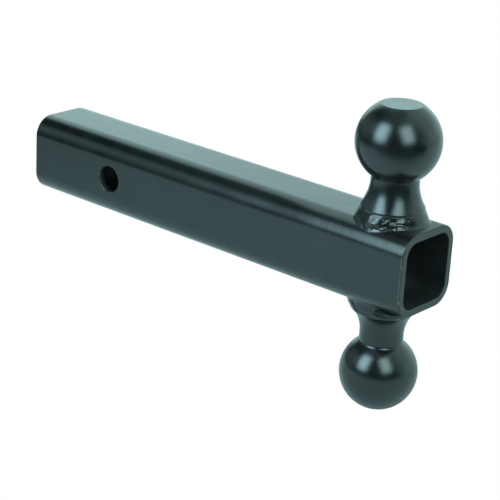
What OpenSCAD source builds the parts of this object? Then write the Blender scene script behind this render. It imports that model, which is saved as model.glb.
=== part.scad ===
// Ball mount for a trailer hitch: a square tube that slides into a receiver and is held there by a
// cross pin, with a tow ball welded on top of its front end and a smaller one welded beneath it.
// Millimetres. The origin is the middle of the pin hole, +X runs forward to the balls and +Z is up.

/* [Shank tube] */
// Outside width and height of the square tube
shank_size = 50.8; // [44:0.1:64]
// Wall thickness of the tube
tube_wall = 4.76; // [3:0.01:6.4]
// Outside radius of the tube's long corners
corner_r = 13; // [7:0.1:16]
// From the pin hole's axis back to the rear end of the tube
pin_to_rear = 70.4; // [40:0.1:120]
// From the pin hole's axis forward to the axis of the balls
pin_to_balls = 209; // [120:0.5:320]
// From the axis of the balls forward to the front end of the tube
balls_to_front = 27.65; // [24:0.05:60]

/* [Pin hole] */
// Diameter of the hole for the hitch pin
pin_hole_d = 17.46; // [13:0.01:20]
// Width of the broken edge round the hole, on the outer faces
hole_edge = 0.6; // [0.2:0.1:1.5]

/* [Upper ball] */
// Diameter of the upper ball
upper_ball_d = 50.8; // [47.6:0.1:60]
// Height of its centre above the tube
upper_ball_height = 47; // [40:0.5:60]
// Diameter of the flat on its crown
upper_flat_d = 24.8; // [10:0.1:30]
// Diameter of its neck at the waist
upper_waist_d = 28.6; // [22:0.1:34]
// From the centre of the ball down to the waist
upper_waist_drop = 22.8; // [20:0.1:28]
// Height of the rim of its foot above the tube
upper_rim_height = 8; // [5:0.1:10]
// Radius of the fillet between the neck and the ball
upper_fillet_r = 1.2; // [0.5:0.1:3]

/* [Lower ball] */
// Diameter of the lower ball
lower_ball_d = 47.625; // [44:0.005:60]
// Depth of its centre below the tube
lower_ball_height = 47; // [40:0.5:60]
// Diameter of the flat on its crown
lower_flat_d = 15.9; // [8:0.1:30]
// Diameter of its neck at the waist
lower_waist_d = 26.6; // [22:0.1:34]
// From the centre of the ball up to the waist
lower_waist_drop = 25.5; // [20:0.1:28]
// Depth of the rim of its foot below the tube
lower_rim_height = 6.1; // [5:0.1:10]
// Radius of the fillet between the neck and the ball
lower_fillet_r = 2.2; // [0.5:0.1:3]

/* [Feet and welds] */
// Diameter of the round foot of each ball
foot_d = 38.1; // [34:0.1:42]
// Radius of the rounded rim of each foot
rim_r = 1; // [0.3:0.1:2]
// Radius of the rounded edge of the flat on each ball
crown_edge_r = 0.8; // [0.2:0.1:2]
// How far a bead runs out over the tube from the foot
weld_leg = 2.5; // [1.5:0.1:4]
// How far the toe of a bead wanders in and out
weld_wander = 0.9; // [0:0.05:1.2]
// How far the face of a bead bulges
weld_crown = 0.5; // [0:0.05:1.2]
// Height of the ripples on a bead
weld_ripple = 0.18; // [0:0.01:0.4]
// Length of one ripple along the bead
ripple_pitch = 5; // [4:0.5:10]
// Extra height of the lump where a bead closes on its own start
weld_lump = 0.5; // [0:0.05:1]
// Groove left open between a bead and the rim above it
weld_groove = 0.5; // [0.2:0.05:1.5]
// Gap that keeps a bead off the faces that it joins
weld_gap = 0.05; // [0.03:0.01:0.1]

/* [Hidden] */
$fn = 96;

// Tube: half its width, the bore, and half the width of the flat between two corner rounds
half_size = shank_size / 2;
bore_size = shank_size - 2 * tube_wall;
bore_corner_r = max(corner_r - tube_wall, 0.5);
half_flat = half_size - corner_r;
tube_length = pin_to_rear + pin_to_balls + balls_to_front;
foot_r = foot_d / 2;
// How far a cutter runs past the face that it cuts
overcut = 1;
// How far two arcs that blend run into each other, so that they meet without a sliver
blend_overlap = 0.001;
// Least distance from a bead's toe to the side or the front end of the tube
toe_margin = 0.4;

// Sections round a bead, and steps across the tube and over the face in each section
bead_sections = 120;
toe_steps = 3;
face_steps = 6;
// The toe runs widest at this many places round the foot
toe_lobes = 4;
ripple_count = round(PI * (foot_d + weld_leg) / ripple_pitch);
// Width of the closing lump, in degrees round the foot
lump_width = 22;
// Where the toe is widest and where the bead closes, in degrees from +X
upper_toe_angle = -38;
upper_lump_angle = -52;
lower_toe_angle = -75;
lower_lump_angle = -118;

shank_colour = "#35403f";
ball_colour = "#272f30";
bead_colour = "#3d494a";

// Square with round corners, centred
module round_square(size, r) {
    square([size - 2 * r, size], center = true);
    square([size, size - 2 * r], center = true);
    for (x = [-1, 1], y = [-1, 1])
        translate([x, y] * (size / 2 - r))
            circle(r);
}

// Saw-cut square tube with the pin hole through both side walls
module shank_tube()
    color(shank_colour)
        difference() {
            translate([-pin_to_rear, 0, 0])
                rotate([90, 0, 90])
                    linear_extrude(tube_length)
                        difference() {
                            round_square(shank_size, corner_r);
                            round_square(bore_size, bore_corner_r);
                        }
            rotate([90, 0, 0])
                cylinder(d = pin_hole_d, h = shank_size + 2 * overcut, center = true);
            for (side = [90, -90])
                rotate([side, 0, 0])
                    translate([0, 0, half_size - hole_edge])
                        cylinder(
                            d1 = pin_hole_d,
                            d2 = pin_hole_d + 2 * (hole_edge + overcut),
                            h = hole_edge + overcut
                        );
        }

// What rounding takes off a corner: the patch outside a circle, between the directions of its two sides
module corner_waste(centre, r, side_a, side_b) {
    difference() {
        polygon([centre, centre + 2 * r * side_a / norm(side_a), centre + 2 * r * side_b / norm(side_b)]);
        translate(centre)
            circle(r);
    }
}

// Half outline of a weld-on ball, from the middle of its foot up: foot, flared neck, fillet and ball
module ball_outline(d, height, flat_d, waist_d, waist_drop, rim_height, fillet_r) {
    ball_r = d / 2;
    ball_centre = [0, height];
    waist_r = waist_d / 2;
    waist_height = height - waist_drop;

    // The flare is an arc from the rim of the foot up to the waist, upright where it meets the neck
    flare_rise = waist_height - rim_height;
    flare_run = foot_r - waist_r;
    flare_r = (flare_rise ^ 2 + flare_run ^ 2) / (2 * flare_run);
    flare_centre = [waist_r + flare_r, waist_height];

    // Circles that blend the neck into the ball and round the rim and the edge of the flat
    fillet_x = waist_r + fillet_r - blend_overlap;
    fillet_drop = sqrt((ball_r + fillet_r - blend_overlap) ^ 2 - fillet_x ^ 2);
    fillet_centre = [fillet_x, height - fillet_drop];
    rim_x = foot_r - rim_r + blend_overlap;
    rim_drop = sqrt((flare_r + rim_r - blend_overlap) ^ 2 - (flare_centre.x - rim_x) ^ 2);
    rim_centre = [rim_x, waist_height - rim_drop];
    crown_height = height + sqrt(ball_r ^ 2 - (flat_d / 2) ^ 2);
    edge_y = crown_height - crown_edge_r + blend_overlap;
    edge_x = sqrt((ball_r - crown_edge_r + blend_overlap) ^ 2 - (edge_y - height) ^ 2);
    edge_centre = [edge_x, edge_y];

    difference() {
        square([foot_r, waist_height]);
        translate(flare_centre)
            circle(flare_r);
        corner_waste(rim_centre, rim_r, [1, 0], flare_centre - rim_centre);
    }
    square([waist_r, height]);
    difference() {
        polygon([[0, fillet_centre.y], fillet_centre, ball_centre]);
        translate(fillet_centre)
            circle(fillet_r);
    }
    difference() {
        intersection() {
            translate(ball_centre)
                circle(ball_r);
            square([ball_r + overcut, crown_height]);
        }
        corner_waste(edge_centre, crown_edge_r, edge_centre - ball_centre, [0, 1]);
    }
}

module upper_ball()
    color(ball_colour)
        translate([pin_to_balls, 0, half_size])
            rotate_extrude()
                ball_outline(
                    upper_ball_d, upper_ball_height, upper_flat_d, upper_waist_d,
                    upper_waist_drop, upper_rim_height, upper_fillet_r
                );

module lower_ball()
    color(ball_colour)
        mirror([0, 0, 1])
            translate([pin_to_balls, 0, half_size])
                rotate_extrude()
                    ball_outline(
                        lower_ball_d, lower_ball_height, lower_flat_d, lower_waist_d,
                        lower_waist_drop, lower_rim_height, lower_fillet_r
                    );

// Height of the tube's outer face above its axis, at a distance y to one side
function tube_face(y) =
    abs(y) <= half_flat
        ? half_size
        : half_size - corner_r + sqrt(corner_r ^ 2 - (abs(y) - half_flat) ^ 2);

// Shortest way round from one angle to another
function angle_between(a, b) = abs((a - b + 540) % 360 - 180);

// How far out the toe may run before it leaves the side or the front end of the tube
function toe_room(a) =
    min(
        (half_size - toe_margin) / max(abs(sin(a)), 0.01),
        (balls_to_front - toe_margin) / max(cos(a), 0.01)
    );

function toe_r(a, toe_angle) =
    min(foot_r + weld_leg + weld_wander * cos(toe_lobes * (a - toe_angle)), toe_room(a));

// Bulge of the bead's face: its crown, the ripples along it and the closing lump
function face_bulge(a, lump_angle) =
    weld_crown
    + weld_ripple * sin(ripple_count * a)
    + weld_lump * exp(-(angle_between(a, lump_angle) / lump_width) ^ 2);

// Section of a bead as [radius, height] points: out along the tube to the toe, then up its face
function bead_section(a, rim_height, toe_angle, lump_angle) =
    let (
        root_r = foot_r + weld_gap,
        toe = [toe_r(a, toe_angle), tube_face(toe_r(a, toe_angle) * sin(a)) + weld_gap],
        top = [root_r, half_size + rim_height - weld_groove],
        out = [top.y - toe.y, toe.x - top.x] / norm(top - toe),
        bulge = face_bulge(a, lump_angle)
    )
    concat(
        [
            for (i = [0:toe_steps - 1])
                let (r = root_r + (toe.x - root_r) * i / toe_steps)
                [r, tube_face(r * sin(a)) + weld_gap]
        ],
        [
            for (i = [0:face_steps])
                let (t = i / face_steps)
                toe + (top - toe) * t + out * bulge * sin(180 * t)
        ]
    );

// Fillet weld all round a ball's foot, laid on the tube's flat and over its round shoulders
module weld_bead(rim_height, toe_angle, lump_angle) {
    points = [
        for (i = [0:bead_sections - 1])
            let (a = 360 * i / bead_sections)
            for (p = bead_section(a, rim_height, toe_angle, lump_angle))
                [p.x * cos(a), p.x * sin(a), p.y]
    ];
    size = toe_steps + face_steps + 1;
    faces = [
        for (i = [0:bead_sections - 1], k = [0:size - 1])
            let (
                this = i * size,
                next = (i + 1) % bead_sections * size,
                up = (k + 1) % size
            )
            each [[this + k, this + up, next + up], [this + k, next + up, next + k]]
    ];
    translate([pin_to_balls, 0, 0])
        polyhedron(points, faces);
}

module upper_weld_bead()
    color(bead_colour)
        weld_bead(upper_rim_height, upper_toe_angle, upper_lump_angle);

module lower_weld_bead()
    color(bead_colour)
        mirror([0, 0, 1])
            weld_bead(lower_rim_height, lower_toe_angle, lower_lump_angle);

shank_tube();
upper_ball();
lower_ball();
upper_weld_bead();
lower_weld_bead();
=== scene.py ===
from math import atan2, cos, degrees, exp, hypot, pi, radians, sin, sqrt

import bmesh
import bpy
from mathutils import Matrix, Vector, noise


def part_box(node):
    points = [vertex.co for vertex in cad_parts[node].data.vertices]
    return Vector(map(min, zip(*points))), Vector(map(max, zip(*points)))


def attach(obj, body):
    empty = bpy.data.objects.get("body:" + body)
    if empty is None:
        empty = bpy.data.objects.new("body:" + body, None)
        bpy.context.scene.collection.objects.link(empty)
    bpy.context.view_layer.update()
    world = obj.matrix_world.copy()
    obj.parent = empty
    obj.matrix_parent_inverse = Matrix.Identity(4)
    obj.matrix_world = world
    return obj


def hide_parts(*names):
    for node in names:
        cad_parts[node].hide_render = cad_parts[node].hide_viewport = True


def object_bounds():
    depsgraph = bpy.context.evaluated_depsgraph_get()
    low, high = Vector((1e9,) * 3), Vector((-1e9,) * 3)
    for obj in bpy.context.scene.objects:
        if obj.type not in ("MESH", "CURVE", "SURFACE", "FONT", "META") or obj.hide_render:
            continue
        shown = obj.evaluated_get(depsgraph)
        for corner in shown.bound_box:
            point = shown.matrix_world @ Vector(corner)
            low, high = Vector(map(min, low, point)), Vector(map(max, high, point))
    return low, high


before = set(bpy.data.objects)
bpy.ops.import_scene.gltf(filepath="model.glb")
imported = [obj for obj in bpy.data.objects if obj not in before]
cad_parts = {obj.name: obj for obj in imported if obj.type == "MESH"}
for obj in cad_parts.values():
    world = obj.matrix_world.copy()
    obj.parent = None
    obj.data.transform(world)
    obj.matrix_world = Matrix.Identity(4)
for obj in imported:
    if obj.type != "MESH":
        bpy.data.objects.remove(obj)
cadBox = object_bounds()
print("frame loaded:", ", ".join(sorted(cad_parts)))

mm = 0.001  # sizes below are written in millimetres


# small helpers shared by the pieces

def newObject(name, bm, materials=()):
    mesh = bpy.data.meshes.new(name)
    bm.to_mesh(mesh)
    bm.free()
    for material in materials:
        mesh.materials.append(material)
    made = bpy.data.objects.new(name, mesh)
    bpy.context.scene.collection.objects.link(made)
    return made


def addPiece(name, bm, materials, node):
    piece = newObject(name, bm, materials)
    mesh = piece.data
    mesh.polygons.foreach_set("use_smooth", [True] * len(mesh.polygons))
    weighted = piece.modifiers.new("flatFacesStayFlat", "WEIGHTED_NORMAL")
    weighted.keep_sharp = True
    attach(piece, "root")
    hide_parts(node)
    print("piece", name, len(mesh.polygons), "faces")


def arcPoints(centre, radius, start, end, steps):
    # points on an arc in the profile's own plane, both ends included
    return [
        (centre[0] + radius * cos(a), centre[1] + radius * sin(a))
        for a in [start + (end - start) * i / steps for i in range(steps + 1)]
    ]


def middleX(node):
    # where the middle of a node lies along the tube
    low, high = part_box(node)
    return (low.x + high.x) / 2


def roundEdges(bm, edges, size, segments):
    bmesh.ops.bevel(
        bm, geom=edges, offset=size, offset_type="OFFSET", affect="EDGES",
        segments=segments, profile=0.5, material=-1,
    )


# shader nodes

class NodeMaker:
    # keeps node code short: add() makes a node and sets or links its inputs by name
    def __init__(self, tree):
        self.tree = tree

    def add(self, kind, settings=None, **inputs):
        node = self.tree.nodes.new(kind)
        for key, value in (settings or {}).items():
            setattr(node, key, value)
        for key, value in inputs.items():
            self.put(node, key.replace("_", " "), value)
        return node

    def put(self, node, name, value):
        socket = node.inputs[int(name)] if name.isdigit() else node.inputs[name]
        if isinstance(value, bpy.types.NodeSocket):
            self.tree.links.new(value, socket)
        else:
            socket.default_value = value

    def math(self, operation, a, b=0.0):
        node = self.tree.nodes.new("ShaderNodeMath")
        node.operation = operation
        self.put(node, "0", a)
        self.put(node, "1", b)
        return node.outputs[0]

    def ramp(self, value, low, high, toLow=0.0, toHigh=1.0, kind="SMOOTHSTEP"):
        node = self.add(
            "ShaderNodeMapRange", {"interpolation_type": kind},
            Value=value, From_Min=low, From_Max=high, To_Min=toLow, To_Max=toHigh,
        )
        return node.outputs[0]

    def mixColor(self, factor, a, b):
        node = self.tree.nodes.new("ShaderNodeMix")
        node.data_type = "RGBA"
        self.put(node, "0", factor)
        self.put(node, "6", a)
        self.put(node, "7", b)
        return node.outputs[2]

    def mixValue(self, factor, a, b):
        node = self.tree.nodes.new("ShaderNodeMix")
        self.put(node, "0", factor)
        self.put(node, "2", a)
        self.put(node, "3", b)
        return node.outputs[0]


def newGroup(name, inputs, outputs):
    tree = bpy.data.node_groups.new(name, "ShaderNodeTree")
    for socketName, kind, default in inputs:
        socket = tree.interface.new_socket(socketName, in_out="INPUT", socket_type=kind)
        if default is not None:
            socket.default_value = default
    for socketName, kind in outputs:
        tree.interface.new_socket(socketName, in_out="OUTPUT", socket_type=kind)
    maker = NodeMaker(tree)
    return tree, maker, maker.add("NodeGroupInput"), maker.add("NodeGroupOutput")


def useGroup(maker, tree, **inputs):
    return maker.add("ShaderNodeGroup", {"node_tree": tree}, **inputs)


def blankMaterial(name):
    material = bpy.data.materials.new(name)
    material.use_nodes = True
    material.node_tree.nodes.clear()
    maker = NodeMaker(material.node_tree)
    return material, maker, maker.add("ShaderNodeOutputMaterial")


def newMaterial(name):
    material, maker, output = blankMaterial(name)
    shader = maker.add("ShaderNodeBsdfPrincipled")
    maker.put(output, "Surface", shader.outputs[0])
    return material, maker, shader


vectorSocket = ("Vector", "NodeSocketVector", None)


def floatSocket(name, default):
    return (name, "NodeSocketFloat", default)


def paintGrainGroup():
    # sprayed film: a fine orange peel, slow waves in the film and cloudy gloss
    tree, maker, given, result = newGroup(
        "paintGrain",
        [
            vectorSocket, floatSocket("Peel Scale", 900.0), floatSocket("Wave Scale", 90.0),
            floatSocket("Wave Gain", 2.5),
        ],
        [("Height", "NodeSocketFloat"), ("Cloud", "NodeSocketFloat")],
    )
    where = given.outputs["Vector"]
    peel = maker.add(
        "ShaderNodeTexNoise", Vector=where, Scale=given.outputs["Peel Scale"],
        Detail=2.0, Roughness=0.5,
    )
    wave = maker.add(
        "ShaderNodeTexNoise", Vector=where, Scale=given.outputs["Wave Scale"],
        Detail=3.0, Roughness=0.55,
    )
    cloudScale = maker.math("MULTIPLY", given.outputs["Wave Scale"], 0.6)
    cloud = maker.add("ShaderNodeTexNoise", Vector=where, Scale=cloudScale, Detail=4.0, Roughness=0.6)
    swell = maker.math("MULTIPLY", wave.outputs[0], given.outputs["Wave Gain"])
    height = maker.math("ADD", swell, peel.outputs[0])
    maker.put(result, "Height", height)
    maker.put(result, "Cloud", maker.ramp(cloud.outputs[0], 0.3, 0.7))
    return tree


def dustGroup():
    # sparse bright motes, as fine dust lies on a dark film
    tree, maker, given, result = newGroup(
        "dustMotes",
        [
            vectorSocket, floatSocket("Spacing", 140.0), floatSocket("Size", 0.06),
            floatSocket("Share", 0.2),
        ],
        [("Mask", "NodeSocketFloat")],
    )
    cells = maker.add(
        "ShaderNodeTexVoronoi", {"feature": "F1"}, Vector=given.outputs["Vector"],
        Scale=given.outputs["Spacing"], Randomness=1.0,
    )
    chance = maker.add("ShaderNodeSeparateColor", Color=cells.outputs["Color"])
    chosen = maker.math("LESS_THAN", chance.outputs[0], given.outputs["Share"])
    size = maker.math("MULTIPLY", given.outputs["Size"], maker.math("ADD", chance.outputs[1], 0.35))
    spot = maker.math("LESS_THAN", cells.outputs["Distance"], size)
    maker.put(result, "Mask", maker.math("MULTIPLY", chosen, spot))
    return tree


def chipGroup():
    # paint knocked off along an edge: a mask of ragged chips where the edge mask is high
    tree, maker, given, result = newGroup(
        "edgeChips",
        [
            vectorSocket, floatSocket("Edge", 0.0), floatSocket("Scale", 1100.0),
            floatSocket("Amount", 0.4),
        ],
        [("Mask", "NodeSocketFloat"), ("Tone", "NodeSocketFloat")],
    )
    where = given.outputs["Vector"]
    ragged = maker.add(
        "ShaderNodeTexNoise", Vector=where, Scale=given.outputs["Scale"], Detail=5.0, Roughness=0.7
    )
    patchScale = maker.math("MULTIPLY", given.outputs["Scale"], 0.14)
    patches = maker.add("ShaderNodeTexNoise", Vector=where, Scale=patchScale, Detail=2.0)
    level = maker.math(
        "MULTIPLY", maker.math("ADD", ragged.outputs[0], patches.outputs[0]), given.outputs["Edge"]
    )
    need = maker.math("SUBTRACT", 1.35, given.outputs["Amount"])  # both noises seldom add up to more
    mask = maker.ramp(maker.math("SUBTRACT", level, need), 0.0, 0.05)
    maker.put(result, "Mask", mask)
    maker.put(result, "Tone", ragged.outputs[0])
    return tree


paintGrain = paintGrainGroup()
dustMotes = dustGroup()
edgeChips = chipGroup()
print("shader groups ready")


# paint finishes

paintLooks = {
    "black": (0.0024, 0.0032, 0.0033, 1.0),
    "blackWorn": (0.0048, 0.0062, 0.0063, 1.0),
    "thinPaint": (0.055, 0.068, 0.060, 1.0),
    "dust": (0.22, 0.24, 0.23, 1.0),
    "primer": (0.30, 0.24, 0.13, 1.0),
    "primerDark": (0.10, 0.075, 0.04, 1.0),
    "ior": 1.5,
    "peelStrength": 0.25,
    "dustRoughness": 0.7,
    "primerRoughness": 0.6,
}
ballFinish = {
    "roughness": (0.20, 0.25),
    "peelDepth": 0.00006,
}


def objectVector(maker, scale=(1.0, 1.0, 1.0)):
    where = maker.add("ShaderNodeTexCoord").outputs["Object"]
    return maker.add("ShaderNodeMapping", Vector=where, Scale=scale).outputs[0]


def holeDistance(maker):
    # how far a point lies from the axis of the pin hole, which runs through the origin along y
    flat = objectVector(maker, (1.0, 0.0, 1.0))
    return maker.add("ShaderNodeVectorMath", {"operation": "LENGTH"}, **{"0": flat}).outputs["Value"]


def ballPaintMaterial(name):
    material, maker, shader = newMaterial(name)
    place = objectVector(maker)
    grain = useGroup(maker, paintGrain, Vector=place, Peel_Scale=1300.0, Wave_Scale=70.0, Wave_Gain=4.0)
    dust = useGroup(maker, dustMotes, Vector=place, Spacing=180.0, Size=0.05, Share=0.05)
    tone = maker.mixColor(grain.outputs["Cloud"], paintLooks["black"], paintLooks["blackWorn"])
    maker.put(shader, "Base Color", maker.mixColor(dust.outputs["Mask"], tone, paintLooks["dust"]))
    gloss = maker.ramp(grain.outputs["Cloud"], 0.0, 1.0, *ballFinish["roughness"])
    rough = maker.mixValue(dust.outputs["Mask"], gloss, paintLooks["dustRoughness"])
    maker.put(shader, "Roughness", rough)
    maker.put(shader, "IOR", paintLooks["ior"])
    relief = maker.add(
        "ShaderNodeBump", Height=grain.outputs["Height"], Strength=paintLooks["peelStrength"],
        Distance=ballFinish["peelDepth"],
    )
    maker.put(shader, "Normal", relief.outputs[0])
    return material


# where the shank's paint is worn or marked, as places on the tube in metres
shankMarks = {
    "cornerFrom": (0.0128, 0.0160),  # the rounded corners start here, off both middle planes
    "upperHalf": (0.0, 0.004),
    "topFace": (0.0245, 0.0252),
    "outerSides": (0.0247, 0.0250),
    "nearSide": (-0.0249, -0.0253),
    "rollFade": (-0.08, 0.15, 0.2, 1.0),  # roll marks grow from the rear to the front
    "rollDepth": 0.00004,
    "frontEdge": (0.26090, 0.26145),  # forward plus near-side reach of the near upright front edge
    "chipFade": (-0.002, -0.018, 0.74, 1.0),  # chips get denser from the top down
    "chipAmount": 0.41,
    "holeRim": (0.0095, 0.0087),
    "rimChips": 0.95,
    "wornBand": (0.2350, 0.2360),
    "scuffed": (0.2130, 0.2240),  # the top is duller between the weld and the front end
    "sawCut": (0.2358, 0.2364),  # the sawn front end takes the paint less smoothly
    "flatterFrom": (0.135, 0.172),  # beside the weld the near corner reflects as if a little flatter
    "flatterTo": (0.290, 0.190),
    "flatterAbove": (0.009, -0.002),  # across the corner, as upward plus sideways
    "flatterBelow": (-0.026, -0.008),
    "flatterDepth": 0.0008,
}
# how rough the shank's paint is, and what its marks add to that
shankFinish = {
    "roughness": (0.21, 0.25),
    "lines": (-0.015, 0.02),
    "forward": (-0.05, 0.18, -0.05, 0.035),  # glossier at the rear, duller in front
    "scuffed": 0.20,
    "sawCut": 0.12,
    "peelDepth": 0.00005,
}


def shankPaintMaterial():
    material, maker, shader = newMaterial("satinShankPaint")
    place = objectVector(maker)
    acrossWay = objectVector(maker, (1.0, 0.05, 0.05))
    longWay = objectVector(maker, (0.02, 1.0, 1.0))
    fromHole = holeDistance(maker)
    grain = useGroup(maker, paintGrain, Vector=place, Peel_Scale=1100.0, Wave_Scale=65.0, Wave_Gain=10.0)
    dust = useGroup(maker, dustMotes, Vector=place, Spacing=230.0, Size=0.045, Share=0.12)
    forward, sideways, upward = maker.add("ShaderNodeSeparateXYZ", Vector=place).outputs
    offSide, offTop = maker.math("ABSOLUTE", sideways), maker.math("ABSOLUTE", upward)

    def both(a, b):
        return maker.math("MULTIPLY", a, b)

    def mark(value, name):
        return maker.ramp(value, *shankMarks[name])

    # edge wear: the near upright edge of the front end and the rim of the pin hole
    edge = both(mark(maker.math("SUBTRACT", forward, sideways), "frontEdge"), mark(upward, "chipFade"))
    rim = both(mark(fromHole, "holeRim"), mark(offSide, "outerSides"))
    chips = useGroup(
        maker, edgeChips, Vector=place, Scale=2000.0, Amount=shankMarks["chipAmount"],
        Edge=maker.math("MAXIMUM", edge, both(rim, shankMarks["rimChips"])),
    )
    primer = maker.mixColor(chips.outputs["Tone"], paintLooks["primerDark"], paintLooks["primer"])
    band = both(mark(forward, "wornBand"), mark(sideways, "nearSide"))
    thin = both(band, maker.ramp(chips.outputs["Tone"], 0.35, 0.65))
    tone = maker.mixColor(grain.outputs["Cloud"], paintLooks["black"], paintLooks["blackWorn"])
    worn = maker.mixColor(thin, tone, paintLooks["thinPaint"])
    dusty = maker.mixColor(dust.outputs["Mask"], worn, paintLooks["dust"])
    maker.put(shader, "Base Color", maker.mixColor(chips.outputs["Mask"], dusty, primer))
    # drawing lines run the length of the flats and make the gloss uneven
    lines = maker.add("ShaderNodeTexNoise", Vector=longWay, Scale=900.0, Detail=3.0, Roughness=0.6)
    scuffed = both(mark(forward, "scuffed"), mark(upward, "topFace"))
    rough = maker.ramp(grain.outputs["Cloud"], 0.0, 1.0, *shankFinish["roughness"])
    for added in (
        maker.ramp(lines.outputs[0], 0.3, 0.7, *shankFinish["lines"]),
        maker.ramp(forward, *shankFinish["forward"]),
        both(scuffed, shankFinish["scuffed"]),
        both(mark(forward, "sawCut"), shankFinish["sawCut"]),
    ):
        rough = maker.math("ADD", rough, added)
    rough = maker.mixValue(chips.outputs["Mask"], rough, paintLooks["primerRoughness"])
    rough = maker.mixValue(dust.outputs["Mask"], rough, paintLooks["dustRoughness"])
    maker.put(shader, "Roughness", rough)
    maker.put(shader, "IOR", paintLooks["ior"])
    # relief: the flatter corner, ripples across the upper corners as of forming rolls, then the paint
    acrossCorner = maker.math("ADD", upward, sideways)
    overCorner = both(mark(acrossCorner, "flatterAbove"), mark(acrossCorner, "flatterBelow"))
    beside = both(mark(forward, "flatterFrom"), mark(forward, "flatterTo"))
    flatter = maker.add(
        "ShaderNodeBump", Height=both(overCorner, beside), Strength=1.0,
        Distance=shankMarks["flatterDepth"],
    )
    corner = both(mark(maker.math("MINIMUM", offSide, offTop), "cornerFrom"), mark(upward, "upperHalf"))
    rolls = maker.add("ShaderNodeTexNoise", Vector=acrossWay, Scale=700.0, Detail=2.0, Roughness=0.55)
    rolled = both(rolls.outputs[0], both(corner, mark(forward, "rollFade")))
    marks = maker.add(
        "ShaderNodeBump", Height=rolled, Strength=1.0, Distance=shankMarks["rollDepth"],
        Normal=flatter.outputs[0],
    )
    relief = maker.add(
        "ShaderNodeBump", Height=grain.outputs["Height"], Strength=paintLooks["peelStrength"],
        Distance=shankFinish["peelDepth"], Normal=marks.outputs[0],
    )
    maker.put(shader, "Normal", relief.outputs[0])
    return material


boreLooks = {
    # the scale tone is partly painted light: it is lighter to make up for the shade deep in the bore
    "scale": ((0.032, 0.035, 0.035, 1.0), (0.044, 0.047, 0.046, 1.0)),
    "spray": ((0.0060, 0.0064, 0.0064, 1.0), (0.0095, 0.0098, 0.0098, 1.0)),
    "endSpray": (0.055, 0.005),  # the overspray starts and is full this far from either end
    "holeSpray": (0.018, 0.010, 0.0, 0.3),  # and this far from the pin hole's axis, where it is thinner
    "roughness": (0.62, 0.78),
    "ior": 1.3,
}


def boreMaterial():
    # inside of the tube, a guess: mill scale, with black overspray at both ends and round the pin hole;
    # the lighter tone deep inside is also painted light, making up for the shade there
    material, maker, shader = newMaterial("dullBoreScaleAndPaintedLight")
    place = objectVector(maker)
    grain = useGroup(maker, paintGrain, Vector=place, Peel_Scale=500.0, Wave_Scale=120.0)
    cloud = grain.outputs["Cloud"]
    low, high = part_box("shank_tube")
    half = (high.x - low.x) / 2
    forward = maker.add("ShaderNodeSeparateXYZ", Vector=place).outputs[0]
    offMiddle = maker.math("ABSOLUTE", maker.math("SUBTRACT", forward, middleX("shank_tube")))
    ends = maker.ramp(offMiddle, *[half - depth for depth in boreLooks["endSpray"]])
    sprayed = maker.math("MAXIMUM", ends, maker.ramp(holeDistance(maker), *boreLooks["holeSpray"]))
    scale = maker.mixColor(cloud, *boreLooks["scale"])
    spray = maker.mixColor(cloud, *boreLooks["spray"])
    # painted light: the bore's colour is lighter deep inside, where it lies in shade
    maker.put(shader, "Base Color", maker.mixColor(sprayed, scale, spray))
    maker.put(shader, "Roughness", maker.ramp(cloud, 0.0, 1.0, *boreLooks["roughness"]))
    maker.put(shader, "IOR", boreLooks["ior"])
    relief = maker.add("ShaderNodeBump", Height=grain.outputs["Height"], Strength=0.4, Distance=0.0002)
    maker.put(shader, "Normal", relief.outputs[0])
    return material


shankPaint = shankPaintMaterial()
ballPaint = ballPaintMaterial("semiGlossBallPaint")
weldPaint = ballPaintMaterial("paintedWeld")
boreScaleAndPaintedLight = boreMaterial()
print("finishes ready")


# shank tube

shank = {
    "wall": 4.76 * mm,
    "cornerRadius": 13 * mm,
    "cornerSegments": 18,
    "outerBreak": (0.9 * mm, 5),  # rounding of the saw-cut ends outside, and its segments
    "innerBreak": (0.5 * mm, 3),  # and inside
    "pinHoleRadius": 8.73 * mm,
    "pinHoleSegments": 72,
    "holeBreak": (0.6 * mm, 3),
}


def tubeBody(low, high):
    bm = bmesh.new()
    bmesh.ops.create_cube(bm, size=1.0)
    bmesh.ops.scale(bm, vec=high - low, verts=bm.verts)
    bmesh.ops.translate(bm, vec=(low + high) / 2, verts=bm.verts)
    long = [e for e in bm.edges if abs(e.verts[0].co.x - e.verts[1].co.x) > mm]
    roundEdges(bm, long, shank["cornerRadius"], shank["cornerSegments"])
    ends = [f for f in bm.faces if abs(f.normal.x) > 0.9]
    bmesh.ops.inset_individual(bm, faces=ends, thickness=shank["wall"], use_even_offset=True)
    bmesh.ops.delete(bm, geom=ends, context="FACES_ONLY")
    rims = [e for e in bm.edges if e.is_boundary]
    bmesh.ops.bridge_loops(bm, edges=rims)
    bmesh.ops.recalc_face_normals(bm, faces=bm.faces)
    outer, inner = endCorners(bm, True), endCorners(bm, False)
    roundEdges(bm, outer, *shank["outerBreak"])
    roundEdges(bm, inner, *shank["innerBreak"])
    return bm


def endCorners(bm, outer):
    # the edges where the two end faces meet the outside of the tube, or its bore
    corners = []
    for edge in bm.edges:
        walls = [f for f in edge.link_faces if abs(f.normal.x) < 0.5]
        ends = [f for f in edge.link_faces if abs(f.normal.x) > 0.9]
        if len(walls) == 1 and len(ends) == 1:
            at = walls[0].calc_center_median()
            if (walls[0].normal.dot(Vector((0, at.y, at.z))) > 0) == outer:
                corners.append(edge)
    return corners


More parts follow.
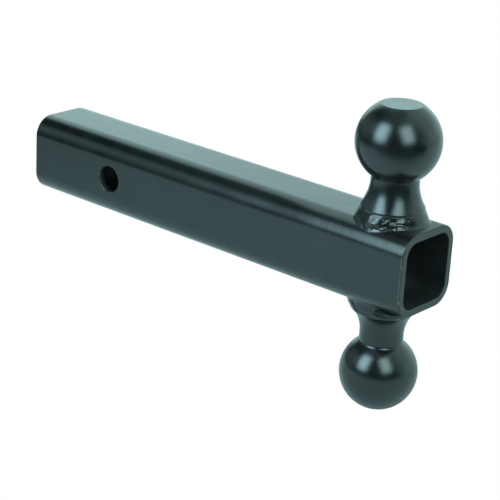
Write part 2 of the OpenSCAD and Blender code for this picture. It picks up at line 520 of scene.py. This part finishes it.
def cutPinHole(bm, half):
    # a straight boolean cut through both side walls, then its outer edges are broken
    drill = bmesh.new()
    radius = shank["pinHoleRadius"]
    bmesh.ops.create_cone(
        drill, cap_ends=True, segments=shank["pinHoleSegments"], radius1=radius, radius2=radius,
        depth=4 * half,
    )
    bmesh.ops.rotate(drill, cent=(0, 0, 0), matrix=Matrix.Rotation(pi / 2, 3, "X"), verts=drill.verts)
    blank, tool = newObject("tubeBlank", bm), newObject("pinDrill", drill)
    cut = blank.modifiers.new("pinHole", "BOOLEAN")
    cut.operation = "DIFFERENCE"
    cut.solver = "EXACT"
    cut.object = tool
    depsgraph = bpy.context.evaluated_depsgraph_get()
    drilled = bmesh.new()
    drilled.from_mesh(blank.evaluated_get(depsgraph).to_mesh())
    for thing in (blank, tool):
        bpy.data.meshes.remove(thing.data)  # takes the object with it

    def onRim(v):
        near = 0.01 * mm
        return abs(abs(v.co.y) - half) < near and abs(hypot(v.co.x, v.co.z) - radius) < near

    rim = [e for e in drilled.edges if onRim(e.verts[0]) and onRim(e.verts[1])]
    roundEdges(drilled, rim, *shank["holeBreak"])
    return drilled


def buildShank():
    low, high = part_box("shank_tube")
    half = high.y
    bm = cutPinHole(tubeBody(low, high), half)
    # both limits lie a little outside the walls that they are to catch
    boreHalf = half - shank["wall"] + 0.05 * mm
    holeReach = shank["pinHoleRadius"] + 0.1 * mm
    for face in bm.faces:
        at = face.calc_center_median()
        inBore = abs(at.y) < boreHalf and abs(at.z) < boreHalf and abs(face.normal.x) < 0.5
        inHole = hypot(at.x, at.z) < holeReach and abs(face.normal.y) < 0.5
        face.material_index = 1 if inBore or inHole else 0
    addPiece("shankTube", bm, [shankPaint, boreScaleAndPaintedLight], "shank_tube")


buildShank()


# tow balls

footRadius = 19.05 * mm  # both feet are alike
ballSteps = {"rim": 5, "neck": 20, "fillet": 8, "ball": 56, "crown": 5, "round": 144}
upperBall = {
    "name": "upperTowBall", "node": "upper_ball", "side": 1,
    "ballRadius": 25.4 * mm, "height": 47 * mm, "flatRadius": 12.4 * mm,
    "waistRadius": 14.3 * mm, "waistDrop": 22.8 * mm, "rimHeight": 8 * mm,
    "fillet": 1.2 * mm, "rimRound": 1 * mm, "crownEdge": 0.8 * mm,
}
lowerBall = {
    "name": "lowerTowBall", "node": "lower_ball", "side": -1,
    "ballRadius": 23.8125 * mm, "height": 47 * mm, "flatRadius": 7.95 * mm,
    "waistRadius": 13.3 * mm, "waistDrop": 25.5 * mm, "rimHeight": 6.1 * mm,
    "fillet": 2.2 * mm, "rimRound": 1 * mm, "crownEdge": 0.8 * mm,
}


def neckFlare(b):
    # the arc of the neck, from its waist out to the foot's rim: centre and radius
    waistHeight = b["height"] - b["waistDrop"]
    rise = waistHeight - b["rimHeight"]
    run = footRadius - b["waistRadius"]
    flare = (rise ** 2 + run ** 2) / (2 * run)
    return (b["waistRadius"] + flare, waistHeight), flare


def ballProfile(b):
    # half outline from the middle of the foot up to the middle of the crown, as (radius, height)
    r, waist, height = b["ballRadius"], b["waistRadius"], b["height"]
    flareCentre, flare = neckFlare(b)
    waistHeight = flareCentre[1]
    rimX = footRadius - b["rimRound"]
    rimY = waistHeight - sqrt((flare + b["rimRound"]) ** 2 - (flareCentre[0] - rimX) ** 2)
    rimTurn = atan2(waistHeight - rimY, flareCentre[0] - rimX)
    filletX = waist + b["fillet"]
    filletY = height - sqrt((r + b["fillet"]) ** 2 - filletX ** 2)
    filletTurn = atan2(height - filletY, -filletX)
    crown = height + sqrt(r ** 2 - b["flatRadius"] ** 2)
    edgeY = crown - b["crownEdge"]
    edgeX = sqrt((r - b["crownEdge"]) ** 2 - (edgeY - height) ** 2)
    edgeTurn = atan2(edgeY - height, edgeX)
    # the rings within the foot's and the crown's flat keep their shading even
    points = [(0.0, 0.0), (footRadius * 0.6, 0.0), (footRadius, 0.0)]
    points += arcPoints((rimX, rimY), b["rimRound"], 0.0, rimTurn, ballSteps["rim"])
    points += arcPoints(flareCentre, flare, pi + rimTurn, pi, ballSteps["neck"])[1:]
    points += arcPoints((filletX, filletY), b["fillet"], pi, filletTurn, ballSteps["fillet"])
    points += arcPoints((0.0, height), r, filletTurn - pi, edgeTurn, ballSteps["ball"])[1:]
    points += arcPoints((edgeX, edgeY), b["crownEdge"], edgeTurn, pi / 2, ballSteps["crown"])[1:]
    points += [(edgeX * f, crown) for f in (0.97, 0.6, 0.25, 0.0)]
    return points


def buildBall(b):
    axis = Vector((middleX(b["node"]), 0, 0))
    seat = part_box("shank_tube")[1].z
    bm = bmesh.new()
    verts = [bm.verts.new((axis.x + x, 0, b["side"] * (seat + y))) for x, y in ballProfile(b)]
    edges = [bm.edges.new(pair) for pair in zip(verts, verts[1:])]
    bmesh.ops.spin(
        bm, geom=verts + edges, cent=axis, axis=(0, 0, 1), angle=2 * pi,
        steps=ballSteps["round"], use_merge=True,
    )
    bmesh.ops.remove_doubles(bm, verts=bm.verts, dist=0.001 * mm)
    bmesh.ops.recalc_face_normals(bm, faces=bm.faces)
    addPiece(b["name"], bm, [ballPaint], b["node"])


for ball in (upperBall, lowerBall):
    buildBall(ball)


# weld beads

weldShape = {
    "gap": 0.02 * mm,  # the bead is sunk this far into what it joins
    "proud": 0.3 * mm,  # how far the plain face stands out
    "hollow": 0.45 * mm,  # and how far it is drawn in above its toe
    "hollowLow": 0.6,  # under 1 the deepest place is nearer to the toe
    "toeFlare": 0.4 * mm,  # paint and metal run out over the tube at the toe
    "flareShare": 0.06,  # the flare fades over this share of the face's height
    "seatShare": 0.03,  # the toe lies down on the tube over this one
    "endShare": 0.05,  # and the upper end is rounded over this one
    "undercut": 1.7,  # a pass is that much steeper below its ridge than above it
    "ridge": 1.3,  # and its ridge is that blunt
    "raggedTurn": 5.0,  # how far the outline of a pass wanders, in degrees and in shares of the height
    "raggedRise": 0.10,
    "broad": 0.16,  # millimetres of slow swell all over
    "lumps": (0.03, 0.16),  # millimetres on the plain face, and added in the rough patch
    "grit": (0.006, 0.05),
    "steps": 480,
    "faceRows": 40,
    "backRows": 4,
}
noiseScale = {"turn": 300, "rise": 260, "broad": 140, "lumps": 420, "grit": 900}  # per metre
# a pass is one run of the torch: angle, place of its ridge up the face, half width, height, slant, rise
# and how blunt its ends are; a hollow is angle, half width, height and depth
upperWeld = {
    "name": "upperWeldBead", "node": "upper_weld_bead", "ball": upperBall,
    "leg": 2.3 * mm, "wander": 1.2 * mm, "widest": 28.0,
    "edge": -1.5 * mm, "edgeWander": 0.15 * mm,  # the bead's upper end, off the foot's rim
    "roughAt": -50.0, "roughWidth": 20.0, "ragged": 1.0,
    "passes": [
        (-85, 0.43, 18, 0.55, 4, 1.72 * mm, 5.0),
        (-95, 0.26, 10, 0.60, 0, 0.60 * mm, 5.0),
        (-70, 0.14, 6, 0.22, 0, 0.45 * mm, 5.0),
        (-66, 0.55, 5, 0.35, 10, 1.30 * mm, 5.0),
        (-53, 0.36, 6, 0.30, -10, 1.00 * mm, 5.0),
        (-39, 0.58, 12, 0.30, 6, 0.66 * mm, 5.0),
        (-40, 0.32, 11, 0.26, -6, 0.60 * mm, 5.0),
        (-38, 0.06, 12, 0.22, 0, 0.48 * mm, 5.0),
        (5, 0.60, 34, 0.45, 0, 0.40 * mm, 5.0),
    ],
    "hollows": [],
}
lowerWeld = {
    "name": "lowerWeldBead", "node": "lower_weld_bead", "ball": lowerBall,
    "leg": 2.3 * mm, "wander": 0.9 * mm, "widest": 20.0,
    "edge": 0.5 * mm, "edgeWander": 0.4 * mm,
    "roughAt": -40.0, "roughWidth": 10.0, "ragged": 0.35,
    "passes": [
        (-136, 0.40, 25, 0.90, 19, 1.20 * mm, 9.0),
        (-50, 0.64, 32, 0.60, 0, 1.45 * mm, 2.5),
        (-48, 0.44, 25, 0.70, 0, 1.15 * mm, 2.5),
    ],
    "hollows": [(-48, 23, 0.40, 2.70 * mm)],  # not filled under the tube's rounded shoulder
}


def tubeFace(y, half):
    # height of the tube's upper face, with its rounded shoulders, that far off the middle
    radius = shank["cornerRadius"]
    flat = half - radius
    over = min(max(abs(y) - flat, 0.0), radius)
    return flat + sqrt(radius ** 2 - over ** 2)


def neckRadius(b, height):
    # radius of the foot or the neck that far above the tube
    if height <= b["rimHeight"]:
        return footRadius
    (x, y), flare = neckFlare(b)
    return x - sqrt(flare ** 2 - (y - height) ** 2)


def turnBetween(a, b):
    # from one angle to another the short way round, in degrees
    return (a - b + 540) % 360 - 180


def passLift(onePass, turn, t):
    # nearly flat from its ridge up, steeper below the ridge, with blunt ends
    angle, place, halfTurn, height, slant, rise, blunt = onePass
    across = turnBetween(turn, angle + slant * (t - 0.5)) / halfTurn
    along = (t - place) / height
    down = along if along > 0 else -along * weldShape["undercut"]
    return rise * (1 - abs(across) ** blunt - down ** weldShape["ridge"])


def weldRelief(w, turn, t, at):
    # how far the bead's face stands out at an angle round the foot and a share t of the way up;
    # the vectors added to a place only keep the noises apart
    ragged, side = w["ragged"], w["ball"]["side"]
    turnNoise = noise.noise(at * noiseScale["turn"] + Vector((5.3, 0, 0)))
    riseNoise = noise.noise(at * noiseScale["rise"] + Vector((0, 0, 2.9)))
    raggedTurn = turn + weldShape["raggedTurn"] * ragged * turnNoise
    raggedT = t + weldShape["raggedRise"] * ragged * riseNoise
    swell = max(0.0, *[passLift(onePass, raggedTurn, raggedT) for onePass in w["passes"]])
    for angle, halfTurn, height, depth in w["hollows"]:
        across = turnBetween(turn, angle) / halfTurn
        swell -= depth * max(0.0, 1 - abs(across) ** 4) * max(0.0, 1 - t / height)
    rough = exp(-(turnBetween(turn, w["roughAt"]) / w["roughWidth"]) ** 2)
    broad = noise.noise(at * noiseScale["broad"] + Vector((3.1, 0, side))) * weldShape["broad"] * mm
    (plainLumps, addedLumps), (plainGrit, addedGrit) = weldShape["lumps"], weldShape["grit"]
    lumpNoise = noise.noise(at * noiseScale["lumps"] + Vector((0, 7.7, 0)))
    lumps = lumpNoise * (plainLumps + addedLumps * rough * ragged) * mm
    grit = noise.noise(at * noiseScale["grit"]) * (plainGrit + addedGrit * rough * ragged) * mm
    face = weldShape["proud"] - weldShape["hollow"] * sin(pi * t ** weldShape["hollowLow"])
    rounding = 1 - exp((t - 1) / weldShape["endShare"])
    return rounding * (face + swell + broad + lumps + grit)


def buildWeld(w):
    b = w["ball"]
    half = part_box("shank_tube")[1].z
    axisX = middleX(b["node"])
    rows, backRows = weldShape["faceRows"], weldShape["backRows"]
    bm = bmesh.new()
    # a washer of rings is spun first, then each ring becomes a line of the bead's section
    verts = [bm.verts.new((1.0 + i, 0, 0)) for i in range(rows + 1 + backRows)]
    edges = [bm.edges.new(pair) for pair in zip(verts, verts[1:])]
    bmesh.ops.spin(
        bm, geom=verts + edges, cent=(0, 0, 0), axis=(0, 0, 1), angle=2 * pi,
        steps=weldShape["steps"], use_merge=True,
    )

    def seat(r, angle):
        return tubeFace(r * sin(angle), half) - weldShape["gap"]

    def facePoint(angle, t):
        turn = degrees(angle)
        edge = b["rimHeight"] + w["edge"] + w["edgeWander"] * cos(angle - radians(w["roughAt"]))
        root, top = neckRadius(b, edge) - weldShape["gap"], half + edge
        toe = footRadius + w["leg"] + w["wander"] * cos(2 * radians(turn - w["widest"]))
        outR, outZ = top - seat(toe, angle), toe - root
        r, z = toe - outZ * t, top - outR * (1 - t)
        rise = weldRelief(w, turn, t, Vector((r * cos(angle), r * sin(angle), z))) / hypot(outR, outZ)
        r += outR * rise + weldShape["toeFlare"] * exp(-t / weldShape["flareShare"])
        z += outZ * rise
        return r, z + (seat(r, angle) - z) * exp(-(t / weldShape["seatShare"]) ** 2)

    for v in bm.verts:
        angle = atan2(v.co.y, v.co.x)
        row = round(hypot(v.co.x, v.co.y)) - 1
        if row <= rows:
            r, z = facePoint(angle, (1 - cos(pi * row / rows)) / 2)  # rows crowd towards the two ends
        else:
            # back round inside the foot and out along the tube
            root, top = facePoint(angle, 1.0)
            toe = facePoint(angle, 0.0)[0]
            t = (row - rows) / backRows
            r = root + (toe - root) * max(t - 0.5, 0.0) * 2
            z = top + (seat(r, angle) - top) * min(t * 2, 1.0)
        v.co = Vector((axisX + r * cos(angle), r * sin(angle), b["side"] * z))
    bmesh.ops.remove_doubles(bm, verts=bm.verts, dist=0.0005 * mm)
    bmesh.ops.recalc_face_normals(bm, faces=bm.faces)
    addPiece(w["name"], bm, [weldPaint], w["node"])


for weld in (upperWeld, lowerWeld):
    buildWeld(weld)
print("object built")


# studio: white sweep behind and below, dark room in front, two soft boxes

studio = {
    "white": (0.67, 1.0, 1.0, 1.0),  # cool white of the backdrop
    "backGlow": 1.85,
    "sideGlow": 1.45,  # the backdrop is dimmer where it comes round on the right
    "backTurn": 205.0,  # its brightest part; turns are degrees round from the camera
    "backFade": (0.3, 0.9),
    "leftEnd": 208.0,  # its two ends, how far each leans, and how softly it fades out
    "leftLean": -4.5,
    "leftFade": (0.12, -0.12),
    "rightEnd": 66.0,
    "rightLean": -15.0,
    "rightFade": (0.30, -0.40),
    "topFade": (1.0, 0.935),
    "roomGlow": 0.04,
    "ceilingGlow": 0.50,
    "ceilingFade": (0.68, 0.97),
    "spillGlow": 0.60,  # light that spills on the dark room's left wall
    "spillTurn": 250.0,
    "spillFade": (0.74, 1.0),
    "spillRise": (0.0, 0.3, 0.55, 1.0),  # it is weaker near the floor
    "haloGlow": 0.52,  # and a tighter halo beside the left soft box
    "haloTurn": 270.0,
    "haloRise": 26.0,
    "haloFade": (0.95, 1.0),
}
floorPaper = {
    "size": 12.0,
    "gap": 0.1 * mm,  # under the part
    # the lit and dark tones paint shade onto the paper: it is dark where the room in front and to the
    # left is dark
    "lit": (0.67, 0.67, 0.67, 1.0),
    "dark": (0.05, 0.05, 0.05, 1.0),
    "frontTurn": 4.0,  # the front edge runs that many degrees aslant
    "front": (0.46, 0.08),  # reach in front of the balls where the paper is dark, and where it is lit
    "rightTurn": 160.0,  # far to the right it is lit again
    "right": (-0.10, 0.15),
    "leftTurn": -97.0,
    "left": (1.20, 0.15, 0.06, 1.0),  # the same to the left, where it never gets quite dark
    "glow": 0.50,  # extra light on the paper to the right
    "glowTurn": 100.0,
    "glowFrom": (0.05, 0.80),
}
camera = {
    "azimuth": 39.979, "elevation": 20.846, "roll": -3.355,
    "position": (0.740504, -0.760847, 0.352218), "lens": 120.919,
}


def planDirection(turn, rise=0.0):
    # a direction that many degrees round from the camera's own, and that many above the floor
    a, e = radians(camera["azimuth"] + turn), radians(rise)
    return Vector((sin(a) * cos(e), -cos(a) * cos(e), sin(e)))


def buildCamera():
    back = planDirection(0.0, camera["elevation"])
    right = planDirection(90.0)
    up = back.cross(right)
    roll = radians(camera["roll"])
    data = bpy.data.cameras.new("photoCamera")
    data.lens = camera["lens"]
    data.sensor_width = 36.0
    data.clip_start, data.clip_end = 0.05, 100.0
    eye = bpy.data.objects.new("photoCamera", data)
    rows = (right * cos(roll) - up * sin(roll), right * sin(roll) + up * cos(roll), back)
    eye.matrix_world = Matrix(rows).transposed().to_4x4()
    eye.location = camera["position"]
    bpy.context.scene.collection.objects.link(eye)
    bpy.context.scene.camera = eye


def whiteForCamera(maker, lit):
    # the camera sees plain white where the paper and the room only light the object
    ray = maker.add("ShaderNodeLightPath")
    plain = maker.add("ShaderNodeEmission", Color=(1.0, 1.0, 1.0, 1.0), Strength=1.0)
    mix = maker.add("ShaderNodeMixShader", Fac=ray.outputs["Is Camera Ray"])
    maker.put(mix, "1", lit)
    maker.put(mix, "2", plain.outputs[0])
    return mix.outputs[0]


def reach(maker, vector, turn, rise=0.0):
    # how far a point or a direction lies towards that turn from the camera
    sockets = {"0": vector, "1": planDirection(turn, rise)}
    return maker.add("ShaderNodeVectorMath", {"operation": "DOT_PRODUCT"}, **sockets).outputs["Value"]


def buildWorld():
    world = bpy.data.worlds.new("studioRoom")
    bpy.context.scene.world = world
    world.use_nodes = True
    world.node_tree.nodes.clear()
    maker = NodeMaker(world.node_tree)
    way = maker.add("ShaderNodeTexCoord").outputs["Generated"]
    rise = maker.add("ShaderNodeSeparateXYZ", Vector=way).outputs[2]
    leftOf = reach(maker, way, studio["leftEnd"] + 90, studio["leftLean"])
    rightOf = reach(maker, way, studio["rightEnd"] - 90, studio["rightLean"])
    left = maker.ramp(leftOf, *studio["leftFade"])
    right = maker.ramp(rightOf, *studio["rightFade"], kind="LINEAR")
    top = maker.ramp(rise, *studio["topFade"])
    sweep = maker.math("MULTIPLY", maker.math("MULTIPLY", left, right), top)
    behind = reach(maker, way, studio["backTurn"])
    paper = maker.ramp(behind, *studio["backFade"], studio["sideGlow"], studio["backGlow"])
    ceiling = maker.ramp(rise, *studio["ceilingFade"], studio["roomGlow"], studio["ceilingGlow"])
    wall = reach(maker, way, studio["spillTurn"])
    spill = maker.ramp(wall, *studio["spillFade"], 0.0, studio["spillGlow"])
    spill = maker.math("MULTIPLY", spill, maker.ramp(rise, *studio["spillRise"]))
    beside = reach(maker, way, studio["haloTurn"], studio["haloRise"])
    halo = maker.ramp(beside, *studio["haloFade"], 0.0, studio["haloGlow"])
    room = maker.math("ADD", ceiling, maker.math("ADD", spill, halo))
    glow = maker.mixValue(sweep, room, paper)
    surface = maker.add("ShaderNodeBackground", Color=studio["white"], Strength=glow)
    output = maker.add("ShaderNodeOutputWorld")
    maker.put(output, "Surface", whiteForCamera(maker, surface.outputs[0]))


def addStage(name, bm, material):
    thing = newObject(name, bm, [material])
    return thing


def buildFloor(ballAxis):
    # paper that the soft boxes light; its colour is painted dark in front and to the left, painted shade
    # where it fades out into the dark room
    material, maker, output = blankMaterial("paleSweep")
    place = maker.add("ShaderNodeTexCoord").outputs["Object"]
    place = maker.add("ShaderNodeMapping", Vector=place, Location=-ballAxis).outputs[0]

    def toward(name):
        return maker.ramp(reach(maker, place, floorPaper[name + "Turn"]), *floorPaper[name])

    front = maker.math("MAXIMUM", toward("front"), toward("right"))
    lit = maker.math("MULTIPLY", front, toward("left"))
    # painted shade: the paper's colour goes dark towards the front and the left
    paper = maker.add(
        "ShaderNodeBsdfDiffuse", Color=maker.mixColor(lit, floorPaper["dark"], floorPaper["lit"])
    )
    beside = reach(maker, place, floorPaper["glowTurn"])
    glow = maker.ramp(beside, *floorPaper["glowFrom"], 0.0, floorPaper["glow"])
    shine = maker.add(
        "ShaderNodeEmission", Color=studio["white"], Strength=maker.math("MULTIPLY", front, glow)
    )
    sheet = maker.add("ShaderNodeAddShader", **{"0": paper.outputs[0], "1": shine.outputs[0]})
    # from below the floor is clear, so the part can be looked at from there too
    below = maker.add("ShaderNodeNewGeometry").outputs["Backfacing"]
    through = maker.add("ShaderNodeMixShader", Fac=below)
    maker.put(through, "1", whiteForCamera(maker, sheet.outputs[0]))
    maker.put(through, "2", maker.add("ShaderNodeBsdfTransparent").outputs[0])
    maker.put(output, "Surface", through.outputs[0])
    bm = bmesh.new()
    bmesh.ops.create_grid(bm, x_segments=1, y_segments=1, size=floorPaper["size"])
    bmesh.ops.translate(bm, vec=(0, 0, cadBox[0].z - floorPaper["gap"]), verts=bm.verts)
    addStage("sweepFloor", bm, material)


softBoxes = {
    "leftBox": {
        "turn": -57.7, "rise": 30.0, "roll": -4.0, "distance": 1.10, "size": (1.03, 1.25), "soft": 0.42,
        "radiance": 10.2, "color": (0.60, 0.96, 1.06, 1.0),
        "cut": (2.3, 0.5),  # its upper corner is dimmer
    },
    "rightBox": {
        "turn": 19.5, "rise": 34.5, "roll": -11.0, "distance": 1.25, "size": (1.10, 1.42), "soft": 0.46,
        "radiance": 7.2, "color": (0.64, 1.0, 0.99, 1.0),
    },
}


def buildSoftBox(name, box, target):
    wide, tall = box["size"]
    material, maker, output = blankMaterial(name + "Glow")
    at = maker.add("ShaderNodeSeparateXYZ", Vector=maker.add("ShaderNodeTexCoord").outputs["Object"])
    side = maker.ramp(maker.math("ABSOLUTE", at.outputs[0]), wide / 2, wide / 2 - box["soft"])
    end = maker.ramp(maker.math("ABSOLUTE", at.outputs[1]), tall / 2, tall / 2 - box["soft"])
    facing = maker.math("SUBTRACT", 1.0, maker.add("ShaderNodeNewGeometry").outputs["Backfacing"])
    shape = maker.math("MULTIPLY", maker.math("MULTIPLY", side, end), facing)
    if "cut" in box:
        over = maker.math("MULTIPLY", at.outputs[0], 2 / wide)
        corner = maker.math("ADD", over, maker.math("MULTIPLY", at.outputs[1], 2 / tall))
        shape = maker.math("MULTIPLY", shape, maker.ramp(corner, *box["cut"], kind="LINEAR"))
    glow = maker.add(
        "ShaderNodeEmission", Color=box["color"], Strength=maker.math("MULTIPLY", shape, box["radiance"])
    )
    clear = maker.add("ShaderNodeBsdfTransparent")
    both = maker.add("ShaderNodeAddShader", **{"0": glow.outputs[0], "1": clear.outputs[0]})
    maker.put(output, "Surface", both.outputs[0])
    bm = bmesh.new()
    bmesh.ops.create_grid(bm, x_segments=1, y_segments=1, size=0.5)
    bmesh.ops.scale(bm, vec=(wide, tall, 1.0), verts=bm.verts)
    toward = planDirection(box["turn"], box["rise"])
    lamp = addStage(name, bm, material)
    lamp.location = target + toward * box["distance"]
    aim = (-toward).to_track_quat("Z", "Y").to_matrix() @ Matrix.Rotation(radians(box["roll"]), 3, "Z")
    lamp.rotation_euler = aim.to_euler()
    lamp.visible_camera = False


ballAxis = Vector((middleX("upper_ball"), 0, 0))
buildCamera()
buildWorld()
buildFloor(ballAxis)
for name, box in softBoxes.items():
    buildSoftBox(name, box, ballAxis)
bpy.context.scene.view_settings.view_transform = "Standard"
print("studio ready")
